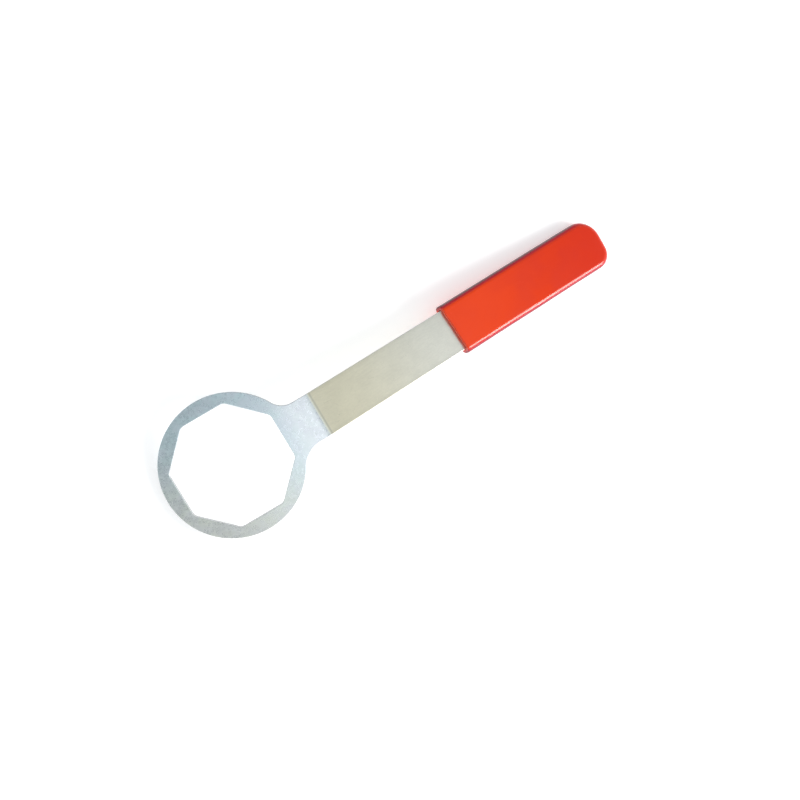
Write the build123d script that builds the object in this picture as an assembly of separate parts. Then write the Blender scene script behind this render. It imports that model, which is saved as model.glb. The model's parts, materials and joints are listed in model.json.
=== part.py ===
from build123d import *
import os
from math import asin, atan2, cos, degrees, hypot, radians, sin, tan

# Octagon ring wrench: one flat steel plate with a ring head, a neck and a bar, bent at the
# neck, and a soft grip dipped over the end of the bar. All sizes are in millimetres and
# all angles in degrees.
#
# Row frame: the origin is the centre of the eight-sided opening, halfway through the
# plate. +X runs from the head towards the grip, +Z is up. The wrench stands as it rests
# on a table, bend uppermost, on the far edge of the ring and the far end of the grip.

# Plate
plate_thickness = 5.0
edge_break = 0.4             # rounding along every cut edge of the plate

# Ring head
opening_sides = 8
opening_across_flats = 80.0
opening_corner_radius = 5.5
ring_rim_width = 10.5        # from the middle of a flat of the opening to the outside

# Neck and bend
neck_left_radius = 14.0      # the hollow roundings between ring and neck, seen from
neck_right_radius = 20.0     # above with the grip pointing away
neck_length = 16.0           # from the outside of the ring to the bend line
bend_angle = 20.0
bend_inner_radius = 3.0

# Bar
bar_width = 33.0
bar_bare_length = 121.0      # from the bend line to the mouth of the grip
bar_corner_radius = 8.0      # at the end of the bar, inside the grip

# Grip. It is dipped on to the bar and sticks to it, so its pocket has no clearance.
grip_length = 149.0
grip_wall = 3.5              # thickness over the faces and edges of the bar
grip_end_wall = 3.0          # thickness past the end of the bar
grip_corner_radius = 14.0    # the two corners at the free end, seen from above
grip_edge_radius = 4.5       # the long edges and the edge of the free end
grip_lip_radius = 0.8        # the edge of the mouth

# Sizes that follow from those above
ring_radius = opening_across_flats / 2 + ring_rim_width
bend_line = ring_radius + neck_length
grip_width = bar_width + 2 * grip_wall
grip_thickness = plate_thickness + 2 * grip_wall
grip_end = bar_bare_length + grip_length
bar_length = grip_end - grip_end_wall
bend_reach = (bend_inner_radius + plate_thickness / 2) * tan(radians(bend_angle / 2))

# The plane of the bar, seen from the head: it starts at the bend line and slopes down.
bar_plane = Plane(
    origin=(bend_line, 0, 0),
    x_dir=(cos(radians(bend_angle)), 0, -sin(radians(bend_angle))),
    z_dir=(sin(radians(bend_angle)), 0, cos(radians(bend_angle))),
)


def rest_tilt():
    """Angle that raises the bend until ring and grip stand on the same level.

    The wrench touches the table with two rounded edges, so the centres of those two
    roundings are compared, each with its own radius.
    """
    rim_x = -ring_radius + edge_break
    rim_z = -plate_thickness / 2 + edge_break
    grip_point = bar_plane.from_local_coords(
        Vector(grip_end - grip_edge_radius, 0, -grip_thickness / 2 + grip_edge_radius)
    )
    across = grip_point.X - rim_x
    drop = grip_point.Z - rim_z
    level = asin((grip_edge_radius - edge_break) / hypot(across, drop))
    return degrees(level - atan2(drop, across))


def opening_outline():
    """The eight-sided opening, one flat towards the handle, its corners rounded."""
    octagon = RegularPolygon(
        radius=opening_across_flats / 2,
        side_count=opening_sides,
        major_radius=False,
        rotation=180 / opening_sides,
    )
    return fillet(octagon.vertices(), opening_corner_radius)


def neck_root(outline, side):
    """The sharp corner between ring and neck, on the left (1) or the right (-1)."""
    return [v for v in outline.vertices() if v.X < ring_radius and v.Y * side > 0]


def head_outline():
    """The ring and its neck seen from above, without the opening."""
    flat_neck = bend_line - bend_reach
    neck = Rectangle(flat_neck, bar_width, align=(Align.MIN, Align.CENTER))
    outline = Circle(ring_radius) + neck
    outline = fillet(neck_root(outline, 1), neck_left_radius)
    return fillet(neck_root(outline, -1), neck_right_radius)


def bent_strip():
    """The neck and the bar as one strip of constant width with a bend in it."""
    half = plate_thickness / 2
    mitre = half * tan(radians(bend_angle / 2))
    near_bend = 2 * mitre
    start = ring_radius - ring_rim_width / 2
    end_top = bar_plane.from_local_coords(Vector(bar_length, 0, half))
    end_bottom = bar_plane.from_local_coords(Vector(bar_length, 0, -half))
    side_view = Plane.XZ * make_face(
        Polyline(
            (start, half),
            (bend_line + mitre, half),
            (end_top.X, end_top.Z),
            (end_bottom.X, end_bottom.Z),
            (bend_line - mitre, -half),
            (start, -half),
            close=True,
        )
    )
    at_bend = [v for v in side_view.vertices() if abs(v.X - bend_line) < near_bend]
    outer_bend = max(at_bend, key=lambda v: v.Z)
    side_view = fillet(outer_bend, bend_inner_radius + plate_thickness)
    at_bend = [v for v in side_view.vertices() if abs(v.X - bend_line) < near_bend]
    inner_bend = min(at_bend, key=lambda v: v.Z)
    side_view = fillet(inner_bend, bend_inner_radius)
    strip = extrude(side_view, bar_width / 2, both=True)
    end_face = strip.faces().sort_by(Axis.X)[-1]
    end_corners = end_face.edges().filter_by(lambda e: e.length < 2 * plate_thickness)
    return fillet(end_corners, bar_corner_radius)


def cut_edges(plate):
    """The edges between the two skins of the plate and its cut sides."""
    steepest_skin = radians(60)
    skins = [f for f in plate.faces() if abs(f.normal_at().Z) > cos(steepest_skin)]
    found = []
    for skin in skins:
        for edge in skin.edges():
            twins = [e for e in found if e.is_same(edge)]
            if twins:
                found.remove(twins[0])
            else:
                found.append(edge)
    return found


def make_wrench_plate():
    """The whole steel piece, head level and bar sloping down."""
    head = extrude(head_outline(), plate_thickness / 2, both=True)
    plate = head + bent_strip()
    plate -= extrude(opening_outline(), plate_thickness, both=True)
    return fillet(cut_edges(plate), edge_break)


def make_handle_grip(plate):
    """The soft sleeve over the end of the bar, closed at its free end."""
    sleeve = bar_plane * Pos(bar_bare_length, 0, 0) * Box(
        grip_length,
        grip_width,
        grip_thickness,
        align=(Align.MIN, Align.CENTER, Align.CENTER),
    )
    ends = sleeve.faces().sort_by(Axis((0, 0, 0), bar_plane.x_dir))
    corners = ends[-1].edges().filter_by(lambda e: e.length < grip_thickness + edge_break)
    sleeve = fillet(corners, grip_corner_radius)
    faces = sleeve.faces()
    top = faces.sort_by(Axis((0, 0, 0), bar_plane.z_dir))[-1]
    bottom = faces.sort_by(Axis((0, 0, 0), bar_plane.z_dir))[0]
    mouth = faces.sort_by(Axis((0, 0, 0), bar_plane.x_dir))[0]
    at_mouth = mouth.edges()
    long_edges = [
        e
        for e in top.edges() + bottom.edges()
        if not any(e.is_same(m) for m in at_mouth)
    ]
    sleeve = fillet(long_edges, grip_edge_radius)
    mouth = sleeve.faces().sort_by(Axis((0, 0, 0), bar_plane.x_dir))[0]
    sleeve = fillet(mouth.edges(), grip_lip_radius)
    return sleeve - plate


def main():
    """Builds both pieces, tilts them to their resting pose and writes them out."""
    plate = make_wrench_plate()
    grip = make_handle_grip(plate)
    resting = Rot(0, -rest_tilt(), 0)
    os.makedirs("parts", exist_ok=True)
    for name, piece in (("wrench_plate", plate), ("handle_grip", grip)):
        placed = resting * piece
        placed.label = name
        export_step(placed, f"parts/{name}.step")
        size = placed.bounding_box().size
        print(f"{name}: {size.X:.1f} x {size.Y:.1f} x {size.Z:.1f} mm, {placed.volume:.0f} mm3")


if __name__ == "__main__":
    main()
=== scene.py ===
import json
import logging
import math
from dataclasses import dataclass, field
from enum import Enum

import bpy
import numpy as np
from mathutils import Euler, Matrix, Vector, geometry, noise


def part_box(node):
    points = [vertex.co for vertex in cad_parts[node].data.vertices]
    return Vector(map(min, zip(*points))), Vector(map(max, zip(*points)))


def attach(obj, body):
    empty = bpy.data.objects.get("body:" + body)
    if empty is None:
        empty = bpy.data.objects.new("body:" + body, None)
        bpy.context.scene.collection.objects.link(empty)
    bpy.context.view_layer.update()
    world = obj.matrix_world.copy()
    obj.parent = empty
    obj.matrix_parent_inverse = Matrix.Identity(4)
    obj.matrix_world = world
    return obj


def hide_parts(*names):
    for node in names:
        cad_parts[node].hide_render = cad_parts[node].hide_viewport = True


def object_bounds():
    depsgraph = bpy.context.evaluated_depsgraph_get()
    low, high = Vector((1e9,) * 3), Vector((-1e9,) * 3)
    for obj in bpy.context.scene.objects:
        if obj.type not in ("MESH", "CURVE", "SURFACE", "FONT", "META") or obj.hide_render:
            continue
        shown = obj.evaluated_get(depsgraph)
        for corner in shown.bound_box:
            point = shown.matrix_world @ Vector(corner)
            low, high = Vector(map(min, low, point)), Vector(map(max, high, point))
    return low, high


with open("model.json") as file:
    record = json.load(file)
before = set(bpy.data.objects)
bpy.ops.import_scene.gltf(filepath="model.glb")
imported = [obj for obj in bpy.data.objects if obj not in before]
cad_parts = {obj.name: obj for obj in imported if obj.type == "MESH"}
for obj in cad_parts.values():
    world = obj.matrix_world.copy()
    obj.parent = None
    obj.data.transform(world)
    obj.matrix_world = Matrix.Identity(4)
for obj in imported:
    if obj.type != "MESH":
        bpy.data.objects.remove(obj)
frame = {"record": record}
CAD_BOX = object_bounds()

# Lengths in the classes below are in millimetres, because that is how a wrench is drawn.
# Everything that reaches Blender is in metres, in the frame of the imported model.
MM = 0.001
BODY = "root"

# Blender's Mix node keeps its colour sockets at these places among all its sockets.
MIX_FIRST = 6
MIX_SECOND = 7
MIX_RESULT = 2

# Points of a flat pattern that are closer than this count as one.
SAME_PLACE = 1e-6

log = logging.getLogger("hydrant_wrench")

Colour = tuple[float, float, float]
Socket = bpy.types.NodeSocket


# ---------------------------------------------------------------- node helpers


@dataclass
class NodeGraph:
    """A typed wrapper round one node tree, for materials, groups and the world."""

    tree: bpy.types.NodeTree

    def add(self, kind: str, **settings) -> bpy.types.Node:
        """Makes a node and sets its properties.

        Args:
            kind: Blender's name for the node type.
            settings: properties of the node by name.

        Returns:
            The new node.
        """
        node = self.tree.nodes.new(kind)
        for name, value in settings.items():
            setattr(node, name, value)
        return node

    def feed(self, socket: Socket, value: Socket | float | tuple) -> None:
        """Links a socket into another, or sets a plain value on it.

        Args:
            socket: the input to fill.
            value: an output socket, a number or a tuple.
        """
        if isinstance(value, bpy.types.NodeSocket):
            self.tree.links.new(value, socket)
        else:
            socket.default_value = value

    def math(
        self,
        operation: str,
        first: Socket | float,
        second: Socket | float = 0.0,
        clamp: bool = False,
    ) -> Socket:
        """Adds a Math node.

        Args:
            operation: Blender's name for the operation.
            first: the first operand.
            second: the second operand, where the operation has one.
            clamp: whether the result is kept between 0 and 1.

        Returns:
            The node's output.
        """
        node = self.add("ShaderNodeMath", operation=operation, use_clamp=clamp)
        self.feed(node.inputs[0], first)
        self.feed(node.inputs[1], second)
        return node.outputs[0]

    def vector_math(
        self, operation: str, first: Socket | tuple, second: Socket | tuple
    ) -> Socket:
        """Adds a Vector Math node.

        Args:
            operation: Blender's name for the operation.
            first: the first vector.
            second: the second vector.

        Returns:
            The node's vector output.
        """
        node = self.add("ShaderNodeVectorMath", operation=operation)
        self.feed(node.inputs[0], first)
        self.feed(node.inputs[1], second)
        return node.outputs["Vector"]

    def ramp(
        self,
        value: Socket,
        low: Socket | float,
        high: Socket | float,
        to_low: Socket | float = 0.0,
        to_high: Socket | float = 1.0,
    ) -> Socket:
        """Carries a value smoothly from one range to another.

        Args:
            value: the value to carry.
            low: where the change begins.
            high: where the change ends.
            to_low: the result at low.
            to_high: the result at high.

        Returns:
            The node's output, held level outside the range.
        """
        node = self.add("ShaderNodeMapRange", interpolation_type="SMOOTHSTEP")
        self.feed(node.inputs["Value"], value)
        self.feed(node.inputs["From Min"], low)
        self.feed(node.inputs["From Max"], high)
        self.feed(node.inputs["To Min"], to_low)
        self.feed(node.inputs["To Max"], to_high)
        return node.outputs["Result"]

    def mix(
        self,
        amount: Socket | float,
        first: Socket | tuple,
        second: Socket | tuple,
        mode: str = "MIX",
    ) -> Socket:
        """Mixes two colours.

        Args:
            amount: how much of the second is taken, from 0 to 1.
            first: the first colour, with alpha.
            second: the second colour, with alpha.
            mode: Blender's name for the blending.

        Returns:
            The mixed colour.
        """
        node = self.add("ShaderNodeMix", data_type="RGBA", blend_type=mode)
        self.feed(node.inputs[0], amount)
        self.feed(node.inputs[MIX_FIRST], first)
        self.feed(node.inputs[MIX_SECOND], second)
        return node.outputs[MIX_RESULT]

    def noise(
        self, vector: Socket, scale: Socket | float, detail: float = 2.0
    ) -> Socket:
        """Adds a noise texture.

        Args:
            vector: where the texture is read.
            scale: how many lumps there are to one unit.
            detail: how many finer layers it has.

        Returns:
            The texture's value, from 0 to 1.
        """
        node = self.add("ShaderNodeTexNoise")
        self.feed(node.inputs["Vector"], vector)
        self.feed(node.inputs["Scale"], scale)
        self.feed(node.inputs["Detail"], detail)
        return node.outputs["Fac"]

    def attribute(self, name: str) -> Socket:
        """Returns a value that the mesh carries at each point."""
        node = self.add("ShaderNodeAttribute", attribute_name=name)
        return node.outputs["Fac"]

    def millimetres(self) -> Socket:
        """Returns the place on the object, in millimetres, in its own frame."""
        place = self.add("ShaderNodeTexCoord").outputs["Object"]
        return self.vector_math("MULTIPLY", place, (1 / MM, 1 / MM, 1 / MM))

    def effect(self, group: bpy.types.NodeTree, **values) -> Socket:
        """Places a shared effect and fills its inputs.

        Args:
            group: the effect's node group.
            values: sockets or numbers by the input's name.

        Returns:
            The effect's only output.
        """
        node = self.add("ShaderNodeGroup", node_tree=group)
        for name, value in values.items():
            self.feed(node.inputs[name], value)
        return node.outputs[0]


def opaque(colour: Colour) -> tuple[float, float, float, float]:
    """Returns a colour with full alpha."""
    return (*colour, 1.0)


def named_tree(material: bpy.types.Material) -> NodeGraph:
    """Clears a material's nodes and returns its graph."""
    material.use_nodes = True
    material.node_tree.nodes.clear()
    return NodeGraph(material.node_tree)


def close_material(
    graph: NodeGraph, surface: bpy.types.Node, height: Socket, bump: float, reach: float
) -> None:
    """Gives a surface its relief and joins it to the material's output.

    Args:
        graph: the material's graph.
        surface: its Principled BSDF.
        height: the relief, from 0 to 1.
        bump: how strongly the relief shows, from 0 to 1.
        reach: how deep the relief is, in millimetres.
    """
    node = graph.add("ShaderNodeBump")
    node.inputs["Strength"].default_value = bump
    node.inputs["Distance"].default_value = reach * MM
    graph.feed(node.inputs["Height"], height)
    graph.feed(surface.inputs["Normal"], node.outputs["Normal"])
    output = graph.add("ShaderNodeOutputMaterial")
    graph.feed(output.inputs["Surface"], surface.outputs["BSDF"])


# -------------------------------------------------------------- shared effects


class Kind(Enum):
    """The kinds of value that an effect takes in."""

    VALUE = "NodeSocketFloat"
    PLACE = "NodeSocketVector"


def new_group(
    name: str, inputs: dict[str, tuple[Kind, float | None]]
) -> tuple[NodeGraph, bpy.types.Node, bpy.types.Node]:
    """Starts a node group with named inputs and one output called Mask.

    Args:
        name: the group's name.
        inputs: each input's kind and default, by name.

    Returns:
        The group's graph, its input node and its output node.
    """
    tree = bpy.data.node_groups.new(name, "ShaderNodeTree")
    for label, (kind, default) in inputs.items():
        socket = tree.interface.new_socket(
            label, in_out="INPUT", socket_type=kind.value
        )
        if default is not None:
            socket.default_value = default
    tree.interface.new_socket("Mask", in_out="OUTPUT", socket_type=Kind.VALUE.value)
    graph = NodeGraph(tree)
    return graph, graph.add("NodeGroupInput"), graph.add("NodeGroupOutput")


class Effects:
    """The shared effects, each a node group that is built once.

    Every place is in millimetres, and every mask runs from 0 to 1.
    """

    def __init__(self) -> None:
        """Builds all the groups."""
        self.grain = self.build_grain()
        self.brush_lines = self.build_brush_lines()
        self.edge_wear = self.build_edge_wear()
        self.clouds = self.build_clouds()
        self.specks = self.build_specks()
        self.scratches = self.build_scratches()
        self.spangle = self.build_spangle()

    @staticmethod
    def build_spangle() -> bpy.types.NodeTree:
        """Returns the crystals of a zinc coat, each with a level of its own."""
        graph, given, made = new_group(
            "spangle", {"Place": (Kind.PLACE, None), "Size": (Kind.VALUE, 1.5)}
        )
        bent = graph.add("ShaderNodeTexNoise")
        graph.feed(bent.inputs["Vector"], given.outputs["Place"])
        bent.inputs["Scale"].default_value = 1.3
        shift = graph.vector_math("SUBTRACT", bent.outputs["Color"], (0.5, 0.5, 0.5))
        place = graph.vector_math("ADD", given.outputs["Place"], shift)
        cells = graph.add("ShaderNodeTexVoronoi", feature="F1")
        graph.feed(cells.inputs["Vector"], place)
        scale = graph.math("DIVIDE", 1.0, given.outputs["Size"])
        graph.feed(cells.inputs["Scale"], scale)
        level = graph.add("ShaderNodeSeparateColor")
        graph.feed(level.inputs["Color"], cells.outputs["Color"])
        graph.feed(made.inputs["Mask"], level.outputs["Green"])
        return graph.tree

    @staticmethod
    def build_grain() -> bpy.types.NodeTree:
        """Returns a fine even grain around a half."""
        graph, given, made = new_group(
            "fine_grain",
            {
                "Place": (Kind.PLACE, None),
                "Size": (Kind.VALUE, 1.0),
                "Contrast": (Kind.VALUE, 1.0),
            },
        )
        scale = graph.math("DIVIDE", 1.0, given.outputs["Size"])
        lumps = graph.noise(given.outputs["Place"], scale, 3.0)
        offset = graph.math("SUBTRACT", lumps, 0.5)
        spread = graph.math("MULTIPLY", offset, given.outputs["Contrast"])
        graph.feed(made.inputs["Mask"], graph.math("ADD", spread, 0.5, clamp=True))
        return graph.tree

    @staticmethod
    def build_brush_lines() -> bpy.types.NodeTree:
        """Returns long thin lines that run along the first axis of the place."""
        graph, given, made = new_group(
            "brush_lines",
            {
                "Place": (Kind.PLACE, None),
                "Length": (Kind.VALUE, 20.0),
                "Width": (Kind.VALUE, 0.3),
                "Contrast": (Kind.VALUE, 1.0),
            },
        )
        along = graph.math("DIVIDE", 1.0, given.outputs["Length"])
        across = graph.math("DIVIDE", 1.0, given.outputs["Width"])
        squeeze = graph.add("ShaderNodeCombineXYZ")
        graph.feed(squeeze.inputs["X"], along)
        graph.feed(squeeze.inputs["Y"], across)
        graph.feed(squeeze.inputs["Z"], across)
        place = graph.vector_math(
            "MULTIPLY", given.outputs["Place"], squeeze.outputs["Vector"]
        )
        lines = graph.noise(place, 1.0, 4.0)
        offset = graph.math("SUBTRACT", lines, 0.5)
        spread = graph.math("MULTIPLY", offset, given.outputs["Contrast"])
        graph.feed(made.inputs["Mask"], graph.math("ADD", spread, 0.5, clamp=True))
        return graph.tree

    @staticmethod
    def build_edge_wear() -> bpy.types.NodeTree:
        """Returns a ragged band beside an edge, from the distance to that edge."""
        graph, given, made = new_group(
            "edge_wear",
            {
                "Place": (Kind.PLACE, None),
                "Distance": (Kind.VALUE, 10.0),
                "Width": (Kind.VALUE, 0.6),
                "Raggedness": (Kind.VALUE, 1.0),
            },
        )
        lumps = graph.noise(given.outputs["Place"], 0.45, 5.0)
        swing = graph.math("SUBTRACT", lumps, 0.5)
        swing = graph.math("MULTIPLY", swing, given.outputs["Raggedness"])
        swing = graph.math("MULTIPLY", swing, given.outputs["Width"])
        swing = graph.math("MULTIPLY", swing, 4.0)
        distance = graph.math("ADD", given.outputs["Distance"], swing)
        worn = graph.ramp(distance, 0.0, given.outputs["Width"], 1.0, 0.0)
        graph.feed(made.inputs["Mask"], worn)
        return graph.tree

    @staticmethod
    def build_clouds() -> bpy.types.NodeTree:
        """Returns soft patches, as handling and uneven plating leave."""
        graph, given, made = new_group(
            "clouds",
            {
                "Place": (Kind.PLACE, None),
                "Size": (Kind.VALUE, 20.0),
                "Softness": (Kind.VALUE, 0.2),
            },
        )
        scale = graph.math("DIVIDE", 1.0, given.outputs["Size"])
        lumps = graph.noise(given.outputs["Place"], scale, 2.0)
        low = graph.math("SUBTRACT", 0.5, given.outputs["Softness"])
        high = graph.math("ADD", 0.5, given.outputs["Softness"])
        graph.feed(made.inputs["Mask"], graph.ramp(lumps, low, high))
        return graph.tree

    @staticmethod
    def build_specks() -> bpy.types.NodeTree:
        """Returns small round specks, some cells with one and most without."""
        graph, given, made = new_group(
            "specks",
            {
                "Place": (Kind.PLACE, None),
                "Spacing": (Kind.VALUE, 3.0),
                "Radius": (Kind.VALUE, 0.08),
                "Share": (Kind.VALUE, 0.3),
            },
        )
        cells = graph.add("ShaderNodeTexVoronoi", feature="F1")
        graph.feed(cells.inputs["Vector"], given.outputs["Place"])
        scale = graph.math("DIVIDE", 1.0, given.outputs["Spacing"])
        graph.feed(cells.inputs["Scale"], scale)
        chance = graph.add("ShaderNodeSeparateColor")
        graph.feed(chance.inputs["Color"], cells.outputs["Color"])
        picked = graph.math(
            "LESS_THAN", chance.outputs["Red"], given.outputs["Share"]
        )
        inner = graph.math("MULTIPLY", given.outputs["Radius"], 0.5)
        dot = graph.ramp(
            cells.outputs["Distance"], inner, given.outputs["Radius"], 1.0, 0.0
        )
        graph.feed(made.inputs["Mask"], graph.math("MULTIPLY", dot, picked))
        return graph.tree

    @staticmethod
    def build_scratches() -> bpy.types.NodeTree:
        """Returns a few thin scratches in three directions."""
        graph, given, made = new_group(
            "scratches",
            {
                "Place": (Kind.PLACE, None),
                "Length": (Kind.VALUE, 25.0),
                "Width": (Kind.VALUE, 0.12),
                "Threshold": (Kind.VALUE, 0.74),
            },
        )
        along = graph.math("DIVIDE", 1.0, given.outputs["Length"])
        across = graph.math("DIVIDE", 1.0, given.outputs["Width"])
        squeeze = graph.add("ShaderNodeCombineXYZ")
        graph.feed(squeeze.inputs["X"], along)
        graph.feed(squeeze.inputs["Y"], across)
        graph.feed(squeeze.inputs["Z"], along)
        full = graph.math("ADD", given.outputs["Threshold"], 0.06)
        total: Socket | float = 0.0
        for degrees in (8.0, 52.0, -37.0):
            turn = graph.add("ShaderNodeVectorRotate", rotation_type="Z_AXIS")
            graph.feed(turn.inputs["Vector"], given.outputs["Place"])
            turn.inputs["Angle"].default_value = math.radians(degrees)
            place = graph.vector_math(
                "MULTIPLY", turn.outputs["Vector"], squeeze.outputs["Vector"]
            )
            lines = graph.noise(place, 1.0, 2.0)
            line = graph.ramp(lines, given.outputs["Threshold"], full)
            total = graph.math("MAXIMUM", total, line)
        graph.feed(made.inputs["Mask"], total)
        return graph.tree


# ------------------------------------------------------------------- finishes


@dataclass(frozen=True)
class ZincMarks:
    """The masks that the zinc plate's colour, roughness and relief share."""

    on_bar: Socket
    on_head: Socket
    side: Socket
    sparkle: Socket
    crystals: Socket
    patches: Socket
    rolled: Socket
    scratch: Socket
    pit: Socket
    cuts: Socket


@dataclass(frozen=True)
class ZincFinish:
    """Satin zinc plate over cut steel: cool on the head, warmer along the bar, with painted
    light and shade.
    """

    # The head's cool and neutral colours are its painted shaded and lit sides; the neck
    # colour is a painted highlight.
    cool: Colour = (0.59, 0.715, 0.75)
    neutral: Colour = (0.74, 0.76, 0.69)
    neck_highlight: Colour = (0.79, 0.84, 0.86)
    violet: Colour = (0.71, 0.71, 0.80)
    warm: Colour = (0.79, 0.745, 0.58)
    pale: Colour = (0.80, 0.79, 0.715)
    # The bend's two colours are a painted highlight on its curve and a painted shade line
    # beside it.
    bend_highlight: Colour = (0.86, 0.88, 0.80)
    bend_line: Colour = (0.50, 0.51, 0.46)
    cut_face: Colour = (0.55, 0.56, 0.57)
    worn: Colour = (0.88, 0.89, 0.88)
    grime: Colour = (0.30, 0.29, 0.27)
    roughness: float = 0.30
    side_roughness: float = 0.5
    bump: float = 0.35
    relief: float = 0.03

    def build(
        self, effects: Effects, bend: tuple[float, float], mouth: float, rim: float
    ) -> bpy.types.Material:
        """Makes the material.

        Args:
            effects: the shared effects.
            bend: where the bend starts and ends, in millimetres along the unfolded
                plate.
            mouth: where the grip's mouth is, measured the same way.
            rim: the radius of the ring.

        Returns:
            The finished material.
        """
        material = bpy.data.materials.new("satin_zinc_plate")
        graph = named_tree(material)
        marks = self.marks(graph, effects, bend[1])
        head = self.head_tint(graph, effects, rim)
        bar = self.bar_tint(graph, bend, mouth)
        tint = self.plated_tint(graph, marks, graph.mix(marks.on_bar, head, bar))
        wear = self.worn_edges(graph, effects)

        surface = graph.add("ShaderNodeBsdfPrincipled")
        tint = graph.mix(wear, tint, opaque(self.worn))
        graph.feed(surface.inputs["Base Color"], tint)
        graph.feed(surface.inputs["Roughness"], self.plated_roughness(graph, marks))
        dull = graph.math("MULTIPLY", marks.pit, 0.5)
        graph.feed(surface.inputs["Metallic"], graph.math("SUBTRACT", 0.97, dull))
        height = self.plated_relief(graph, marks)
        close_material(graph, surface, height, self.bump, self.relief)
        return material

    def marks(self, graph: NodeGraph, effects: Effects, bar_start: float) -> ZincMarks:
        """Makes the masks that the plate's colour, roughness and relief share.

        Args:
            graph: the material's graph.
            effects: the shared effects.
            bar_start: where the bar starts, in millimetres along the pattern.

        Returns:
            The masks.
        """
        place = graph.millimetres()
        along = graph.attribute("along_mm")
        on_bar = graph.ramp(along, bar_start - 0.3, bar_start + 0.5)
        return ZincMarks(
            on_bar=on_bar,
            on_head=graph.math("SUBTRACT", 1.0, on_bar),
            side=graph.attribute("side"),
            sparkle=graph.effect(effects.grain, Place=place, Size=1.1, Contrast=2.6),
            crystals=graph.effect(effects.spangle, Place=place, Size=1.7),
            patches=graph.effect(effects.clouds, Place=place, Size=14.0, Softness=0.25),
            rolled=self.rolled_lines(graph, effects),
            scratch=graph.effect(
                effects.scratches, Place=place, Length=22.0, Width=0.16, Threshold=0.745
            ),
            pit=graph.effect(
                effects.specks, Place=place, Spacing=6.0, Radius=0.05, Share=0.3
            ),
            cuts=self.cut_lines(graph, effects),
        )

    def plated_tint(self, graph: NodeGraph, marks: ZincMarks, tint: Socket) -> Socket:
        """Returns the plating's colour with all its marks.

        Args:
            graph: the material's graph.
            marks: the masks.
            tint: the colour of the clean plating.
        """
        grainy = graph.ramp(marks.sparkle, 0.2, 0.8, 0.985, 1.01)
        glints = graph.ramp(marks.crystals, 0.0, 1.0, 0.97, 1.03)
        cloudy = graph.ramp(marks.patches, 0.0, 1.0, 0.97, 1.01)
        lined = graph.ramp(marks.rolled, 0.2, 0.8, 0.97, 1.02)
        tint = self.shaded(graph, tint, grainy, 1.0)
        tint = self.shaded(graph, tint, glints, graph.math("MULTIPLY", marks.on_head, 0.8))
        tint = self.shaded(graph, tint, cloudy, 1.0)
        tint = self.shaded(graph, tint, lined, marks.on_bar)
        scratched = graph.math("MULTIPLY", marks.scratch, 0.3)
        tint = graph.mix(scratched, tint, opaque(self.worn))
        pitted = graph.math("MULTIPLY", marks.pit, 0.3)
        tint = graph.mix(pitted, tint, opaque(self.grime))
        cut_shade = graph.ramp(marks.cuts, 0.2, 0.8, 0.75, 1.2)
        cut_tint = self.shaded(graph, opaque(self.cut_face), cut_shade, 1.0)
        return graph.mix(marks.side, tint, cut_tint)

    def plated_roughness(self, graph: NodeGraph, marks: ZincMarks) -> Socket:
        """Returns the roughness: greater on the cut sides, less in the scratches.

        Args:
            graph: the material's graph.
            marks: the masks.
        """
        roughness = graph.ramp(marks.sparkle, 0.2, 0.8, -0.015, 0.015)
        roughness = graph.math("ADD", roughness, self.roughness)
        glassy = graph.ramp(marks.crystals, 0.0, 1.0, -0.03, 0.03)
        glassy = graph.math("MULTIPLY", glassy, marks.on_head)
        roughness = graph.math("ADD", roughness, glassy)
        rise = graph.math("MULTIPLY", marks.side, self.side_roughness - self.roughness)
        roughness = graph.math("ADD", roughness, rise)
        dip = graph.math("MULTIPLY", marks.scratch, 0.1)
        return graph.math("SUBTRACT", roughness, dip)

    @staticmethod
    def plated_relief(graph: NodeGraph, marks: ZincMarks) -> Socket:
        """Returns the relief of the plating and of the cut sides.

        Args:
            graph: the material's graph.
            marks: the masks.
        """
        height = graph.math("MULTIPLY", marks.sparkle, 0.025)
        facets = graph.math("MULTIPLY", marks.on_head, 0.03)
        facets = graph.math("MULTIPLY", marks.crystals, facets)
        height = graph.math("ADD", height, facets)
        faces = graph.math("SUBTRACT", 1.0, marks.side)
        lines = graph.math("MULTIPLY", marks.rolled, 0.08)
        height = graph.math("ADD", height, graph.math("MULTIPLY", lines, faces))
        cuts = graph.math("MULTIPLY", marks.cuts, marks.side)
        height = graph.math("ADD", height, cuts)
        scored = graph.math("MULTIPLY", marks.scratch, 0.5)
        height = graph.math("SUBTRACT", height, scored)
        return graph.math("SUBTRACT", height, graph.math("MULTIPLY", marks.pit, 0.6))

    def head_tint(self, graph: NodeGraph, effects: Effects, rim: float) -> Socket:
        """Returns the head's colour, with painted light and shade: cooler and darker to one
        side, warmer and lighter to the other, and a painted highlight brightest at the neck.

        Args:
            graph: the material's graph.
            effects: the shared effects.
            rim: the radius of the ring.
        """
        place = graph.millimetres()
        lean = graph.add("ShaderNodeVectorMath", operation="DOT_PRODUCT")
        graph.feed(lean.inputs[0], place)
        graph.feed(lean.inputs[1], (-0.5, -0.86, 0.0))
        # Painted light and shade: the ring is cooler and darker on one side, warmer and
        # lighter on the other.
        shaded_side_share = graph.ramp(lean.outputs["Value"], -0.5 * rim, rim)
        ring = graph.mix(shaded_side_share, opaque(self.cool), opaque(self.neutral))
        along = graph.attribute("along_mm")
        # Painted highlight: the neck is brightest, where it mirrors the lamp over the head.
        neck_highlight_share = graph.ramp(along, 0.6 * rim, 1.15 * rim)
        tint = graph.mix(neck_highlight_share, ring, opaque(self.neck_highlight))
        drift = graph.effect(effects.clouds, Place=place, Size=9.0, Softness=0.15)
        violet_share = graph.math("MULTIPLY", drift, 0.3)
        return graph.mix(violet_share, tint, opaque(self.violet))

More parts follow.
